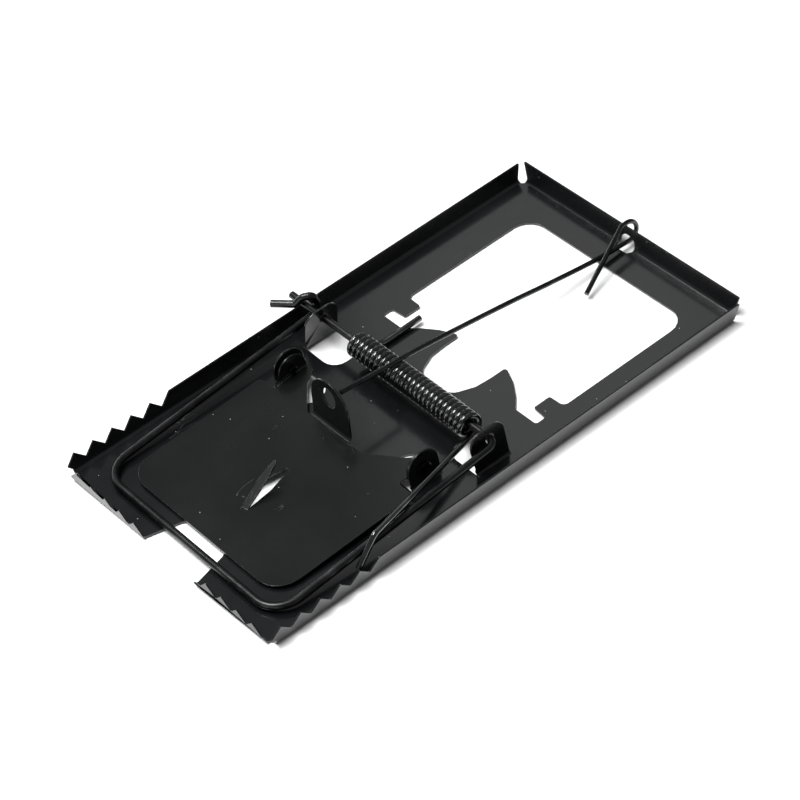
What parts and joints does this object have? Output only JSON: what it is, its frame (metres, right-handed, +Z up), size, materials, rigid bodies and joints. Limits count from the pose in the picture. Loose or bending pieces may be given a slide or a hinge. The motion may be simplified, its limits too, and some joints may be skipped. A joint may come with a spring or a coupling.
{
  "type": "snap mouse trap",
  "caption": "All-metal snap mouse trap: toothed sheet tray, pivoting bait treadle, wire hammer on a torsion spring and a hinged trip rod.",
  "frame": {"origin": "on the tray's flat underside, on its centre line, directly below the hammer's axle", "axes": "+X to the back of the trap, where the trip rod hangs; +Y to the left seen from the front; +Z up"},
  "size_m": [0.152, 0.0855, 0.0166],
  "materials": {
    "black_tray_steel": "gloss",
    "black_treadle_steel": "gloss",
    "hammer_wire": "satin",
    "spring_wire": "satin",
    "rod_wire": "satin",
    "rivet_steel": "satin"
  },
  "bodies": {
    "tray": {"base_tray": "black_tray_steel", "spring_coil": "spring_wire", "pivot_rivet_left": "rivet_steel", "pivot_rivet_right": "rivet_steel"},
    "hammer_frame": {"hammer": "hammer_wire", "spring_arm": "spring_wire"},
    "bait_treadle": {"treadle": "black_treadle_steel"},
    "rod": {"trip_rod": "rod_wire"}
  },
  "joints": [
    {"name": "hammer_swing", "type": "hinge", "parent": "tray", "child": "hammer_frame", "pos_m": [0, 0, 0.0076], "axis": [0, 1, 0], "range_deg": [0, 184], "stiffness_Nm_per_rad": 0.06, "springref_deg": -91.67},
    {"name": "treadle_tilt", "type": "hinge", "parent": "tray", "child": "bait_treadle", "pos_m": [-0.0154, 0, 0.0047], "axis": [0, 1, 0], "range_deg": [0, 8]},
    {"name": "trip_rod_swing", "type": "hinge", "parent": "tray", "child": "rod", "pos_m": [0.0749, 0, 0.0045], "axis": [0, 1, 0], "range_deg": [0, 175]}
  ]
}
